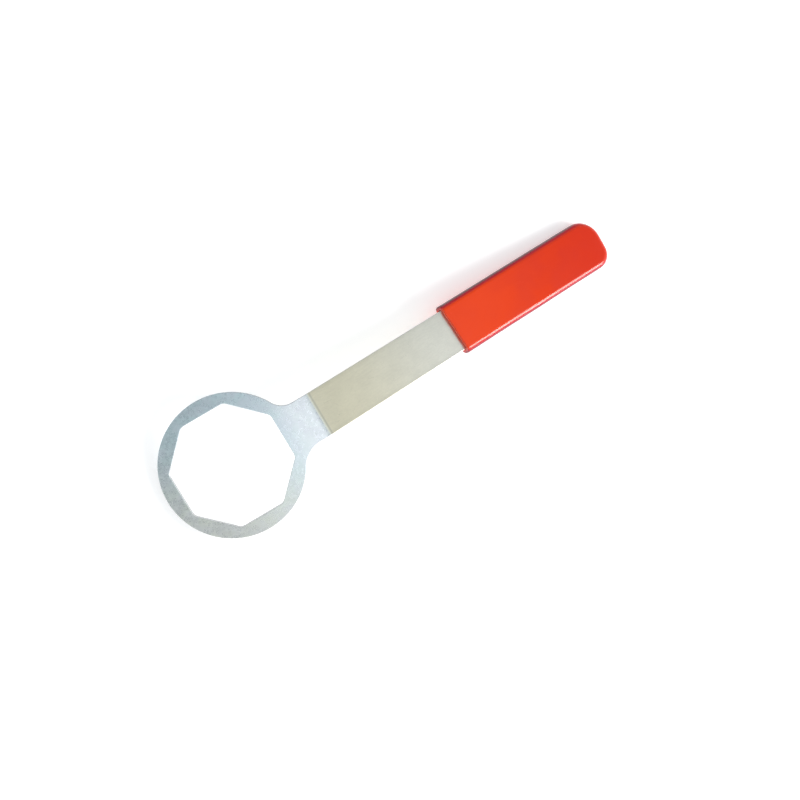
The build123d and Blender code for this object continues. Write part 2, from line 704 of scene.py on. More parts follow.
    def bar_tint(
        self, graph: NodeGraph, bend: tuple[float, float], mouth: float
    ) -> Socket:
        """Returns the bar's colour, with a painted highlight strip and a painted shade line
        at the bend, and painted shade along its edges.

        Args:
            graph: the material's graph.
            bend: where the bend starts and ends along the plate.
            mouth: where the grip's mouth is.
        """
        along = graph.attribute("along_mm")
        fading = graph.ramp(along, bend[1] + 15.0, mouth)
        tint = graph.mix(fading, opaque(self.warm), opaque(self.pale))
        # Painted highlight: a pale strip where the bend's curve catches the light.
        highlight_share = graph.ramp(along, bend[1] + 0.6, bend[1] + 1.5, 1.0, 0.0)
        tint = graph.mix(highlight_share, tint, opaque(self.bend_highlight))
        # Painted shade: a darker line just past the bend.
        gap = graph.math("SUBTRACT", along, bend[1] + 2.0)
        gap = graph.math("ABSOLUTE", gap)
        line = graph.ramp(gap, 0.2, 0.9, 0.55, 0.0)
        tint = graph.mix(line, tint, opaque(self.bend_line))
        # Painted shade: the bar darkens slightly towards its cut edges.
        edge = graph.ramp(graph.attribute("edge_mm"), 0.2, 3.5, 0.93, 1.0)
        return self.shaded(graph, tint, edge, 1.0)

    @staticmethod
    def worn_edges(graph: NodeGraph, effects: Effects) -> Socket:
        """Returns where handling has rubbed the edges bright."""
        wear = graph.effect(
            effects.edge_wear,
            Place=graph.millimetres(),
            Distance=graph.attribute("edge_mm"),
            Width=0.35,
            Raggedness=1.2,
        )
        side = graph.attribute("side")
        off_side = graph.math("SUBTRACT", 1.0, graph.math("MULTIPLY", side, 0.8))
        return graph.math("MULTIPLY", graph.math("MULTIPLY", wear, off_side), 0.12)

    @staticmethod
    def shaded(
        graph: NodeGraph, tint: Socket | tuple, shade: Socket, amount: Socket | float
    ) -> Socket:
        """Multiplies a colour by a shade.

        Args:
            graph: the material's graph.
            tint: the colour.
            shade: what it is multiplied by.
            amount: how much of the shading is kept, from 0 to 1.

        Returns:
            The shaded colour.
        """
        grey = graph.add("ShaderNodeCombineColor")
        for channel in ("Red", "Green", "Blue"):
            graph.feed(grey.inputs[channel], shade)
        return graph.mix(amount, tint, grey.outputs["Color"], "MULTIPLY")

    @staticmethod
    def rolled_lines(graph: NodeGraph, effects: Effects) -> Socket:
        """Returns the faint lines that rolling left along the plate."""
        return graph.effect(
            effects.brush_lines,
            Place=graph.millimetres(),
            Length=45.0,
            Width=0.5,
            Contrast=1.5,
        )

    @staticmethod
    def cut_lines(graph: NodeGraph, effects: Effects) -> Socket:
        """Returns the fine ridges that cutting left through the plate's thickness."""
        across = graph.add("ShaderNodeCombineXYZ")
        graph.feed(across.inputs["X"], graph.attribute("depth_mm"))
        graph.feed(across.inputs["Y"], graph.attribute("round_mm"))
        return graph.effect(
            effects.brush_lines,
            Place=across.outputs["Vector"],
            Length=7.0,
            Width=0.45,
            Contrast=2.0,
        )


@dataclass(frozen=True)
class VinylFinish:
    """Glossy dipped vinyl, a little more orange at the mouth than at the free end, with
    painted shade darkening its flanks and free end.
    """

    mouth_colour: Colour = (0.70, 0.042, 0.0002)
    end_colour: Colour = (0.56, 0.021, 0.002)
    rubbed: Colour = (0.86, 0.10, 0.04)
    # The two darker reds are painted shade on the flanks and the free end.
    painted_half_shade: Colour = (0.48, 0.004, 0.018)
    painted_flank_shade: Colour = (0.06, 0.0015, 0.018)
    dust: Colour = (0.75, 0.70, 0.66)
    roughness: float = 0.2
    bump: float = 0.35
    relief: float = 0.08

    def build(self, effects: Effects) -> bpy.types.Material:
        """Makes the material.

        Args:
            effects: the shared effects.

        Returns:
            The finished material.
        """
        material = bpy.data.materials.new("dipped_red_vinyl")
        graph = named_tree(material)
        place = graph.millimetres()
        share = graph.attribute("from_mouth")
        edge = graph.attribute("edge_mm")

        patches = graph.effect(effects.clouds, Place=place, Size=22.0, Softness=0.25)
        swing = graph.math("MULTIPLY", graph.math("SUBTRACT", patches, 0.5), 0.25)
        flow = graph.math("ADD", share, swing)
        tint = graph.mix(
            graph.ramp(flow, 0.0, 1.0), opaque(self.mouth_colour), opaque(self.end_colour)
        )
        # Painted shade: the flanks and the free end darken through deep crimson to dark
        # plum.
        painted_flank_shade = graph.attribute("painted_flank_shade")
        tint = graph.mix(graph.ramp(painted_flank_shade, 0.0, 0.5), tint, opaque(self.painted_half_shade))
        tint = graph.mix(graph.ramp(painted_flank_shade, 0.5, 1.0), tint, opaque(self.painted_flank_shade))
        rub = graph.effect(
            effects.edge_wear, Place=place, Distance=edge, Width=1.6, Raggedness=0.8
        )
        tint = graph.mix(graph.math("MULTIPLY", rub, 0.12), tint, opaque(self.rubbed))
        speck = graph.effect(
            effects.specks, Place=place, Spacing=5.0, Radius=0.035, Share=0.25
        )
        tint = graph.mix(graph.math("MULTIPLY", speck, 0.25), tint, opaque(self.dust))

        peel = graph.effect(effects.clouds, Place=place, Size=3.4, Softness=0.5)
        pores = graph.effect(effects.grain, Place=place, Size=0.5, Contrast=1.2)
        scuff = graph.effect(
            effects.scratches, Place=place, Length=14.0, Width=0.2, Threshold=0.75
        )
        surface = graph.add("ShaderNodeBsdfPrincipled")
        surface.inputs["Specular IOR Level"].default_value = 0.45
        graph.feed(surface.inputs["Base Color"], tint)
        roughness = graph.ramp(patches, 0.0, 1.0, -0.03, 0.05)
        roughness = graph.math("ADD", roughness, self.roughness)
        roughness = graph.math("ADD", roughness, graph.math("MULTIPLY", rub, 0.06))
        roughness = graph.math("ADD", roughness, graph.math("MULTIPLY", speck, 0.3))
        roughness = graph.math("ADD", roughness, graph.math("MULTIPLY", scuff, 0.15))
        graph.feed(surface.inputs["Roughness"], roughness)

        height = graph.math("MULTIPLY", peel, 0.6)
        height = graph.math("ADD", height, graph.math("MULTIPLY", pores, 0.08))
        height = graph.math("ADD", height, graph.math("MULTIPLY", speck, 0.1))
        height = graph.math("SUBTRACT", height, graph.math("MULTIPLY", scuff, 0.08))
        close_material(graph, surface, height, self.bump, self.relief)
        return material


@dataclass(frozen=True)
class FloorFinish:
    """A matt white light table, all but plain, whose faint glow softens shadows."""

    light: Colour = (0.93, 0.93, 0.93)
    shaded: Colour = (0.90, 0.90, 0.905)
    glow: float = 0.4
    roughness: float = 0.8

    def build(self, effects: Effects) -> bpy.types.Material:
        """Makes the material.

        Args:
            effects: the shared effects.

        Returns:
            The finished material.
        """
        material = bpy.data.materials.new("matt_white_table")
        graph = named_tree(material)
        place = graph.millimetres()
        patches = graph.effect(effects.clouds, Place=place, Size=260.0, Softness=0.4)
        tint = graph.mix(patches, opaque(self.light), opaque(self.shaded))
        surface = graph.add("ShaderNodeBsdfPrincipled")
        surface.inputs["Specular IOR Level"].default_value = 0.2
        surface.inputs["Emission Strength"].default_value = self.glow
        graph.feed(surface.inputs["Base Color"], tint)
        graph.feed(surface.inputs["Emission Color"], tint)
        graph.feed(
            surface.inputs["Roughness"],
            graph.ramp(patches, 0.0, 1.0, self.roughness, self.roughness + 0.08),
        )
        grain = graph.effect(effects.grain, Place=place, Size=0.7, Contrast=1.0)
        close_material(graph, surface, grain, 0.1, 0.05)
        return material


# ------------------------------------------------------------------- geometry


@dataclass
class Fold:
    """Where the flat pattern of the wrench goes when it is bent and laid down.

    The pattern's first axis runs along the handle from the centre of the opening, its
    second across the handle, and its third up through the plate from its middle.
    """

    bend_line: float
    bend_angle: float
    middle_radius: float
    head_tilt: float

    @property
    def reach(self) -> float:
        """How far the bend reaches each side of the bend line."""
        return self.middle_radius * math.tan(self.bend_angle / 2)

    @property
    def start(self) -> float:
        """Where the bend starts, along the pattern."""
        return self.bend_line - self.reach

    @property
    def end(self) -> float:
        """Where the bend ends, along the pattern."""
        return self.start + self.middle_radius * self.bend_angle

    def on_bar(self, distance: float) -> float:
        """Returns the place on the pattern of a distance past the bend line."""
        return self.end + distance - self.reach

    def place(
        self, along: np.ndarray, across: np.ndarray, above: np.ndarray
    ) -> tuple[np.ndarray, np.ndarray, np.ndarray]:
        """Bends and lays down points of the pattern.

        Args:
            along: first coordinate of each point.
            across: second coordinate of each point.
            above: third coordinate of each point.

        Returns:
            The points in metres, and the directions there of the first and third axes.
        """
        turned = np.clip((along - self.start) / self.middle_radius, 0, self.bend_angle)
        flat = np.minimum(along, self.start)
        past = np.maximum(along - self.end, 0)
        radius = self.middle_radius + above
        x = flat + radius * np.sin(turned) + past * np.cos(turned)
        z = above + (radius * np.cos(turned) - radius) - past * np.sin(turned)
        points = self.laid_down(x, across, z) * MM
        forward = self.laid_down(np.cos(turned), 0 * turned, -np.sin(turned))
        upward = self.laid_down(np.sin(turned), 0 * turned, np.cos(turned))
        return points, forward, upward

    def laid_down(self, x: np.ndarray, y: np.ndarray, z: np.ndarray) -> np.ndarray:
        """Turns points or directions from the head's frame to the wrench's frame."""
        c, s = math.cos(self.head_tilt), math.sin(self.head_tilt)
        return np.stack([x * c - z * s, y + 0 * x, x * s + z * c], axis=-1)


@dataclass
class Loop:
    """A closed outline: points, and at each the direction out of the material.

    It runs with the material on its left.
    """

    points: list[tuple[float, float]] = field(default_factory=list)
    outward: list[tuple[float, float]] = field(default_factory=list)

    def line(
        self, start: tuple[float, float], end: tuple[float, float], stops: list[float]
    ) -> None:
        """Adds a straight stretch, without its last point.

        Args:
            start: where it starts.
            end: where it ends.
            stops: shares of its length where points go, the first of them 0.
        """
        (x0, y0), (x1, y1) = start, end
        length = math.hypot(x1 - x0, y1 - y0)
        direction = ((y1 - y0) / length, -(x1 - x0) / length)
        for share in stops:
            self.points.append((x0 + (x1 - x0) * share, y0 + (y1 - y0) * share))
            self.outward.append(direction)

    def arc(
        self,
        centre: tuple[float, float],
        radius: float,
        start: float,
        end: float,
        step: float,
    ) -> None:
        """Adds an arc, without its last point.

        Args:
            centre: its centre.
            radius: its radius.
            start: the angle where it starts, in degrees.
            end: the angle where it ends; less than start on a hollow arc.
            step: the greatest distance between its points.
        """
        turn = math.radians(end - start)
        count = max(4, math.ceil(abs(turn) * radius / step))
        sign = 1 if turn > 0 else -1
        for i in range(count):
            angle = math.radians(start) + turn * i / count
            c, s = math.cos(angle), math.sin(angle)
            self.points.append((centre[0] + radius * c, centre[1] + radius * s))
            self.outward.append((sign * c, sign * s))

    def inset(self, depth: float) -> np.ndarray:
        """Returns the outline drawn in by a small depth."""
        return np.array(self.points) - depth * np.array(self.outward)

    def run(self) -> np.ndarray:
        """Returns how far along the outline each point is."""
        points = np.array(self.points)
        steps = np.linalg.norm(np.roll(points, -1, axis=0) - points, axis=1)
        return np.concatenate([[0.0], np.cumsum(steps)[:-1]])


def even_stops(length: float, step: float) -> list[float]:
    """Returns evenly spaced shares of a length, the first 0 and 1 left out."""
    count = max(1, math.ceil(length / step))
    return [i / count for i in range(count)]


def inside(points: np.ndarray, polygon: np.ndarray) -> np.ndarray:
    """Tells which points lie inside a polygon.

    Args:
        points: the points to test, one row each.
        polygon: the polygon's corners, one row each.

    Returns:
        One truth value for each point.
    """
    x, y = points[:, 0, None], points[:, 1, None]
    x0, y0 = polygon[:, 0], polygon[:, 1]
    x1, y1 = np.roll(x0, -1), np.roll(y0, -1)
    level = np.where(y1 == y0, 1e-12, y1 - y0)
    crossed = ((y0 > y) != (y1 > y)) & (x < (x1 - x0) * (y - y0) / level + x0)
    return crossed.sum(axis=1) % 2 == 1


def band(above: np.ndarray, below: np.ndarray) -> list[tuple[int, ...]]:
    """Joins two closed rows of points with four-sided faces.

    Args:
        above: the numbers of the points in the first row.
        below: the numbers of the points in the next row.

    Returns:
        The faces, each as the numbers of its points.
    """
    quads = zip(above, below, np.roll(below, -1), np.roll(above, -1))
    return [tuple(int(i) for i in quad) for quad in quads]


def fading(gap: np.ndarray, full: float, gone: float) -> np.ndarray:
    """Returns 1 up to one gap, 0 past another, and a straight change between them.

    Args:
        gap: the gap at each point.
        full: the gap where the change begins.
        gone: the gap where it ends.
    """
    return np.clip((gone - gap) / (gone - full), 0.0, 1.0)


def finish_mesh(
    name: str,
    points: np.ndarray,
    faces: list[tuple[int, ...]],
    values: dict[str, np.ndarray],
    normals: np.ndarray | None = None,
) -> bpy.types.Object:
    """Makes a smooth-shaded mesh object that carries values at its points.

    Args:
        name: the object's name.
        points: its points, in metres.
        faces: its faces, as numbers of points.
        values: what it carries for its material, by name.
        normals: the shading direction at each point, where it isn't the mesh's own.

    Returns:
        The object, linked to the scene.
    """
    mesh = bpy.data.meshes.new(name)
    mesh.from_pydata(points.tolist(), [], faces)
    mesh.update()
    mesh.validate()
    mesh.polygons.foreach_set("use_smooth", [True] * len(mesh.polygons))
    for label, numbers in values.items():
        attribute = mesh.attributes.new(label, "FLOAT", "POINT")
        attribute.data.foreach_set("value", np.asarray(numbers, np.float32))
    if normals is not None:
        mesh.normals_split_custom_set_from_vertices(normals.tolist())
    piece = bpy.data.objects.new(name, mesh)
    bpy.context.scene.collection.objects.link(piece)
    return piece


@dataclass
class WrenchPlate:
    """The steel plate: ring head with its opening, neck, bend and bar."""

    ring_radius: float
    head_tilt: float
    thickness: float = 5.0
    edge_radius: float = 0.4
    opening_sides: int = 8
    across_flats: float = 80.0
    opening_corner: float = 5.5
    neck_left_radius: float = 14.0
    neck_right_radius: float = 20.0
    neck_length: float = 16.0
    bend_degrees: float = 20.0
    bend_inner_radius: float = 3.0
    bar_width: float = 33.0
    bar_length: float = 267.0
    bar_corner: float = 8.0
    step: float = 1.1
    flat_step: float = 2.0
    end_step: float = 3.0
    coarse_step: float = 3.5
    bend_margin: float = 3.0
    bend_steps: int = 12
    neck_steps: int = 3
    edge_turns: int = 4
    side_steps: int = 4

    def __post_init__(self) -> None:
        """Works out the fold."""
        self.fold = Fold(
            bend_line=self.ring_radius + self.neck_length,
            bend_angle=math.radians(self.bend_degrees),
            middle_radius=self.bend_inner_radius + self.thickness / 2,
            head_tilt=self.head_tilt,
        )

    def bar_stops(self, start: float, end: float) -> list[float]:
        """Returns places along the bar, close together at the bend.

        Args:
            start: where they start, along the pattern.
            end: where they end.

        Returns:
            The places in rising order, both ends among them.
        """
        bend_start, bend_end = self.fold.start, self.fold.end
        bend_rows = np.linspace(bend_start, bend_end, self.bend_steps + 1)
        before = np.linspace(start, bend_start, self.neck_steps + 1)[:-1]
        rows = math.ceil((end - bend_end) / self.coarse_step)
        after = np.linspace(bend_end, end, rows + 1)[1:]
        return [float(v) for v in (*before, *bend_rows, *after)]

    def neck_root(self, radius: float) -> tuple[float, float, float]:
        """Returns the centre of one of the neck's hollow roundings.

        Args:
            radius: the radius of the rounding.

        Returns:
            Its distance along and across the pattern, and its bearing in degrees.
        """
        across = self.bar_width / 2 + radius
        along = math.sqrt((self.ring_radius + radius) ** 2 - across**2)
        return along, across, math.degrees(math.atan2(across, along))

    def side_stops(self, root: float, corner: float) -> list[float]:
        """Returns where points go along one long side of the neck and bar.

        Args:
            root: where the side starts, along the pattern.
            corner: where it ends.

        Returns:
            Shares of its length, from 0 to 1.
        """
        return [(v - root) / (corner - root) for v in self.bar_stops(root, corner)]

    def outline(self) -> Loop:
        """Returns the outside of the flat pattern."""
        half = self.bar_width / 2
        end = self.fold.on_bar(self.bar_length)
        corner = end - self.bar_corner
        flat_end = half - self.bar_corner
        left_x, left_y, left = self.neck_root(self.neck_left_radius)
        right_x, right_y, right = self.neck_root(self.neck_right_radius)
        backward = [1 - share for share in reversed(self.side_stops(left_x, corner))]
        loop = Loop()
        forward = self.side_stops(right_x, corner)
        loop.line((right_x, -half), (corner, -half), forward[:-1])
        loop.arc((corner, -flat_end), self.bar_corner, -90, 0, self.step)
        loop.line((end, -flat_end), (end, flat_end), even_stops(2 * flat_end, self.end_step))
        loop.arc((corner, flat_end), self.bar_corner, 0, 90, self.step)
        loop.line((corner, half), (left_x, half), backward[:-1])
        loop.arc((left_x, left_y), self.neck_left_radius, 270, 180 + left, self.step)
        loop.arc((0, 0), self.ring_radius, left, 360 - right, self.step)
        loop.arc((right_x, -right_y), self.neck_right_radius, 180 - right, 90, self.step)
        return loop

    def opening(self) -> Loop:
        """Returns the eight-sided opening, one flat towards the handle."""
        half = self.across_flats / 2
        turn = 360 / self.opening_sides
        half_turn = math.radians(turn / 2)
        corner_at = (half - self.opening_corner) / math.cos(half_turn)
        flat_half = (half - self.opening_corner) * math.tan(half_turn)
        loop = Loop()
        for k in range(self.opening_sides, 0, -1):
            middle = math.radians(turn * k)
            out = np.array([math.cos(middle), math.sin(middle)])
            along = np.array([-out[1], out[0]])
            first = tuple(half * out + flat_half * along)
            second = tuple(half * out - flat_half * along)
            loop.line(first, second, even_stops(2 * flat_half, self.flat_step))
            corner = middle - half_turn
            centre = (corner_at * math.cos(corner), corner_at * math.sin(corner))
            after = turn * (k - 1)
            loop.arc(centre, self.opening_corner, turn * k, after, self.step)
        return loop

    def skin(
        self, outer: np.ndarray, inner: np.ndarray
    ) -> tuple[np.ndarray, np.ndarray, np.ndarray]:
        """Divides one face of the pattern into triangles.

        Args:
            outer: the face's outline.
            inner: the opening's outline in the face.

        Returns:
            The points, the outline first and the opening next; the triangles; and the
            distance of each point from the nearer outline.
        """
        rim = np.concatenate([outer, inner])
        far_end = self.fold.on_bar(self.bar_length)
        near_bend = self.fold.start - self.bend_margin
        columns = np.arange(-self.ring_radius, near_bend - 1.0, self.coarse_step)
        columns = [*columns, *self.bar_stops(near_bend, far_end)]
        half_rows = math.floor(self.ring_radius / self.coarse_step)
        rows = np.arange(-half_rows, half_rows + 1) * self.coarse_step
        grid = np.array([(x, y) for x in columns for y in rows])
        grid = grid[inside(grid, outer) & ~inside(grid, inner)]
        gap = np.linalg.norm(grid[:, None] - rim[None], axis=2).min(axis=1)
        grid = grid[gap > self.step]
        gap = gap[gap > self.step]
        points = np.concatenate([rim, grid])
        edges = []
        for first, count in ((0, len(outer)), (len(outer), len(inner))):
            edges += [(first + i, first + (i + 1) % count) for i in range(count)]
        corners = [Vector(p) for p in points]
        found = geometry.delaunay_2d_cdt(corners, edges, [], 0, SAME_PLACE, True)
        origin = [names[0] for names in found[3]]
        triangles = np.array([[origin[i] for i in face] for face in found[2]])
        middles = points[triangles].mean(axis=1)
        kept = inside(middles, outer) & ~inside(middles, inner)
        triangles = triangles[kept]
        a, b, c = (points[triangles[:, i]] for i in range(3))
        area = np.cross(b - a, c - a)
        triangles[area < 0] = triangles[area < 0][:, ::-1]
        return points, triangles, np.concatenate([np.zeros(len(rim)), gap])

    def edge_profile(self) -> list[tuple[float, float, float]]:
        """Returns the rounded cut edge, from the upper face round to the lower.

        Returns:
            For each row of points after the upper face's own: how far it is drawn in
            from the outline, its height, and the slope of its direction from upright.
        """
        half, radius = self.thickness / 2, self.edge_radius
        rows = []
        for i in range(1, self.edge_turns + 1):
            angle = math.pi / 2 * i / self.edge_turns
            drawn_in = radius * (1 - math.sin(angle))
            rows.append((drawn_in, half - radius * (1 - math.cos(angle)), angle))
        side = 2 * (half - radius)
        for i in range(1, self.side_steps):
            rows.append((0.0, half - radius - side * i / self.side_steps, math.pi / 2))
        mirrored = [(d, -h, math.pi - a) for d, h, a in rows[: self.edge_turns]]
        return rows + mirrored[::-1]

    def build(self) -> bpy.types.Object:
        """Makes the plate's mesh.

        Returns:
            The plate, in place.
        """
        loops = [self.outline(), self.opening()]
        insets = [loop.inset(self.edge_radius) for loop in loops]
        skin, triangles, gap = self.skin(*insets)
        half = self.thickness / 2
        count = len(skin)
        layers = [
            (skin, np.full(count, half), np.zeros((count, 2)), np.zeros(count)),
            (skin, np.full(count, -half), np.zeros((count, 2)), np.full(count, np.pi)),
        ]
        edge = [gap, gap]
        side = [np.zeros(count), np.zeros(count)]
        run = [np.zeros(count), np.zeros(count)]
        faces = [tuple(t) for t in triangles]
        faces += [tuple(int(i) + count for i in t[::-1]) for t in triangles]
        total = 2 * count
        first = 0
        for loop in loops:
            size = len(loop.points)
            above = np.arange(first, first + size)
            for drawn_in, height, angle in self.edge_profile():
                ring = np.arange(total, total + size)
                layers.append(
                    (
                        loop.inset(drawn_in),
                        np.full(size, height),
                        np.array(loop.outward),
                        np.full(size, angle),
                    )
                )
                edge.append(np.zeros(size))
                side.append(np.full(size, math.sin(angle) ** 4))
                run.append(loop.run())
                faces += band(above, ring)
                above = ring
                total += size
            faces += band(above, np.arange(first, first + size) + count)
            first += size
        plan = np.concatenate([layer[0] for layer in layers])
        height = np.concatenate([layer[1] for layer in layers])
        outward = np.concatenate([layer[2] for layer in layers])
        angle = np.concatenate([layer[3] for layer in layers])
        points, forward, upward = self.fold.place(plan[:, 0], plan[:, 1], height)
        level = np.sin(angle)[:, None]
        sideways = np.array([[0.0, 1.0, 0.0]])
        normals = outward[:, :1] * forward + outward[:, 1:] * sideways
        normals = normals * level + upward * np.cos(angle)[:, None]
        values = {
            "along_mm": plan[:, 0],
            "edge_mm": np.concatenate(edge),
            "side": np.concatenate(side),
            "round_mm": np.concatenate(run),
            "depth_mm": height,
        }
        return finish_mesh("steel_plate", points, faces, values, normals)

    def dress(self, piece: bpy.types.Object, effects: Effects, mouth: float) -> None:
        """Gives the plate its finish.

        Args:
            piece: the plate.
            effects: the shared effects.
            mouth: where the grip starts, past the bend line.
        """
        bend = (self.fold.start, self.fold.end)
        mouth_at = self.fold.on_bar(mouth)
        finish = ZincFinish().build(effects, bend, mouth_at, self.ring_radius)
        piece.data.materials.append(finish)


@dataclass
class HandleGrip:
    """The dipped grip: a soft closed sleeve with a rounded lip at its mouth."""

    half_width: float
    plate: WrenchPlate
    mouth: float = 121.0
    length: float = 149.0
    wall: float = 3.5
    end_wall: float = 3.0
    edge_radius: float = 4.5
    left_corner: float = 17.5
    right_corner: float = 12.0
    end_bulge: float = 0.5
    end_skew: float = 0.5
    mouth_skew: float = 2.6
    lip: float = 1.2
    crown: float = 0.2
    waviness: float = 0.07
    lump_size: tuple[float, float, float] = (23.0, 14.0, 9.0)
    ripple_size: tuple[float, float, float] = (7.0, 8.0, 5.0)
    ripple_share: float = 0.4
    inward: float = 0.6
    across_steps: int = 60
    edge_turns: int = 14
    corner_step: float = 0.9
    body_step: float = 2.2
    lip_turns: int = 6
    pocket_entry: tuple[tuple[float, float], ...] = ((0.05, 0.75), (0.35, 0.94), (0.9, 1.0))
    pocket_start: float = 3.0
    pocket_steps: int = 10
    pocket_corner_turns: int = 8

    @property
    def half_thickness(self) -> float:
        """Half the thickness of the grip."""
        return self.plate.thickness / 2 + self.wall

    def spread(self) -> list[float]:
        """Returns shares of the half-width from -1 to 1, closer together at the ends."""
        stops = range(self.across_steps + 1)
        return [math.sin(math.pi * (i / self.across_steps - 0.5)) for i in stops]

    def corner_half_width(self, depth: float, corner: float) -> float:
        """Returns the half-width at a depth from the free end, on one side.

        Args:
            depth: distance from the free end.
            corner: the radius of that side's corner.
        """
        missing = max(corner - depth, 0.0)
        return self.half_width - corner + math.sqrt(corner**2 - missing**2)

    def drop(self, depth: float, across: float) -> float:
        """Returns how far a point of the outside lies inside the edge rounding.

        Args:
            depth: distance from the free end.
            across: distance from the middle of the grip, signed.
        """
        corner = self.left_corner if across > 0 else self.right_corner
        side = abs(across) - (self.half_width - corner)
        end = corner - depth
        if side > 0 and end > 0:
            gap = corner - math.hypot(side, end)
        else:
            gap = corner - max(side, end)
        return max(self.edge_radius - gap, 0.0)

    def end_shift(self, depth: float, across: float) -> float:
        """Returns how far the free end falls short of a straight, square end.

        Args:
            depth: distance from the free end.
            across: distance from the middle of the grip, signed.
        """
        share = across / self.half_width
        short = self.end_bulge * share**2 + self.end_skew * (0.5 + 0.5 * share)
        return short * math.exp(-depth / 12.0)

    def mouth_shift(self, past: float, across: float) -> float:
        """Returns how far the mouth, which was dipped askew, falls short of the bar.

        Args:
            past: distance past the bend line.
            across: distance from the middle of the grip, signed.
        """
        share = across / self.half_width
        ripple = 0.12 * math.sin(across / 2.6 + 0.8) + 0.08 * math.sin(across / 1.1)
        short = self.mouth_skew * (0.5 - 0.5 * share) + ripple
        return short * math.exp(-max(past - self.mouth, 0.0) / 15.0)

    def outside_row(self, depth: float) -> list[tuple[float, float, float]]:
        """Returns one row of points round the outside.

        Args:
            depth: distance from the free end.

        Returns:
            For each point its distance past the bend line, across and above.
        """
        left = self.corner_half_width(depth, self.left_corner)
        right = self.corner_half_width(depth, self.right_corner)
        middle, half = (left - right) / 2, (left + right) / 2
        top = []
        for share in self.spread():
            across = middle + half * share
            over = self.drop(depth, across)
            rounding = math.sqrt(max(self.edge_radius**2 - over**2, 0.0))
            height = self.half_thickness - self.edge_radius + rounding
            past = self.mouth + self.length - depth
            past += self.mouth_shift(past, across) - self.end_shift(depth, across)
            top.append((past, across, height))
        bottom = [(s, y, -h) for s, y, h in reversed(top)]
        crowned = []
        for s, y, h in top:
            share = min(abs(y) / self.half_width, 1.0)
            crowned.append((s, y, h - self.crown * share**2 * (h > 0)))
        return crowned + bottom

    def pocket_row(self, past: float, share: float) -> list[tuple[float, float, float]]:
        """Returns one row of points between the outside and the bar.

        Args:
            past: distance past the bend line.
            share: 0 on the outside, 1 on the bar.

        Returns:
            For each point its distance past the bend line, across and above.
        """
        corner = self.plate.bar_corner
        missing = max(past - (self.mouth + self.length - self.end_wall - corner), 0.0)
        narrowing = corner - math.sqrt(max(corner**2 - missing**2, 0.0))
        half = self.half_width - self.wall * share - narrowing
        thick = self.half_thickness - self.wall * share
        inner_radius = self.plate.edge_radius
        radius = self.edge_radius + (inner_radius - self.edge_radius) * share
        top = []
        bottom = []
        for place in self.spread():
            across = half * place
            over = max(abs(across) - (half - radius), 0.0)
            height = thick - radius + math.sqrt(max(radius**2 - over**2, 0.0))
            crown = self.crown * place**2 * (1 - share)
            here = past + self.mouth_shift(past, across)
            top.append((here, across, height - crown))
            bottom.append((here, across, -height))
        return top + bottom[::-1]

    def rows(self) -> list[list[tuple[float, float, float]]]:
        """Returns every row, from the free end, over the lip and into the pocket."""
        quarter = math.pi / 2
        turns = [quarter * i / self.edge_turns for i in range(self.edge_turns + 1)]
        depths = [self.edge_radius * (1 - math.cos(turn)) for turn in turns]
        depth = depths[-1]
        while depth < self.left_corner:
            depth += self.corner_step
            depths.append(depth)
        body_end = self.length - self.lip
        count = math.ceil((body_end - depth) / self.body_step)
        step = (body_end - depth) / count
        depths += [depth + step * (i + 1) for i in range(count)]
        rows = [self.outside_row(d) for d in depths]
        for i in range(1, self.lip_turns + 1):
            angle = quarter * i / self.lip_turns
            past = self.mouth + self.lip * (1 - math.sin(angle))
            drawn_in = self.lip * (1 - math.cos(angle)) / self.wall
            rows.append(self.pocket_row(past, drawn_in))
        rows += [self.pocket_row(self.mouth + d, s) for d, s in self.pocket_entry]
        corner = self.plate.bar_corner
        corner_start = self.mouth + self.length - self.end_wall - corner
        pocket_start = self.mouth + self.pocket_start
        straight = np.linspace(pocket_start, corner_start, self.pocket_steps)
        angles = np.linspace(0.0, quarter, self.pocket_corner_turns + 1)[1:]
        rounded = corner_start + corner * np.sin(angles)
        rows += [self.pocket_row(float(p), 1.0) for p in (*straight, *rounded)]
        return rows

    def build(self) -> bpy.types.Object:
        """Makes the grip's mesh.

        Returns:
            The grip, in place.
        """
        rows = self.rows()
        flat = np.array([point for row in rows for point in row])
        flat = flat + self.wave(flat)
        size = 2 * (self.across_steps + 1)
        faces = []
        for i in range(len(rows) - 1):
            here = np.arange(i * size, (i + 1) * size)
            faces += band(here, here + size)
        for first, flip in ((0, False), ((len(rows) - 1) * size, True)):
            for k in range(self.across_steps):
                quad = (k, k + 1, size - 2 - k, size - 1 - k)
                quad = quad[::-1] if flip else quad
                faces.append(tuple(first + i for i in quad))
        pattern = self.plate.fold.end - self.plate.fold.reach + flat[:, 0]
        points, _, _ = self.plate.fold.place(pattern, flat[:, 1], flat[:, 2])
        past_mouth = flat[:, 0] - self.mouth
        nearest_side = self.half_width - np.abs(flat[:, 1])
        edge = np.minimum(nearest_side, self.length - past_mouth)
        values = {
            "from_mouth": np.clip(past_mouth / self.length, 0, 1),
            "edge_mm": np.minimum(edge, past_mouth),
            # The painted shade on the flanks and the free end, carried for the material.
            "painted_flank_shade": self.flank_shade(flat),
        }
        return finish_mesh("vinyl_grip", points, faces, values)

    def flank_shade(self, flat: np.ndarray) -> np.ndarray:
        """Returns how far the painted shade on the flanks and the free end shows, from 0 to
        1.

        Args:
            flat: the points, as distance past the bend line, across and above.
        """
        depth = self.mouth + self.length - flat[:, 0]
        left = np.array([self.corner_half_width(d, self.left_corner) for d in depth])
        right = np.array([self.corner_half_width(d, self.right_corner) for d in depth])
        from_left = fading(left - flat[:, 1], 0.455, 3.485)
        from_right = fading(right + flat[:, 1], 1.0, 3.0)
        from_end = fading(depth, 0.0, 1.667)
        # The painted shade on the left flank is weaker near the free end.
        settled = np.maximum(1.0 - fading(depth, 4.0, 20.0), 0.2)
        sides = np.maximum(from_left * settled, 0.8 * from_right)
        return np.maximum(sides, 0.3 * from_end)

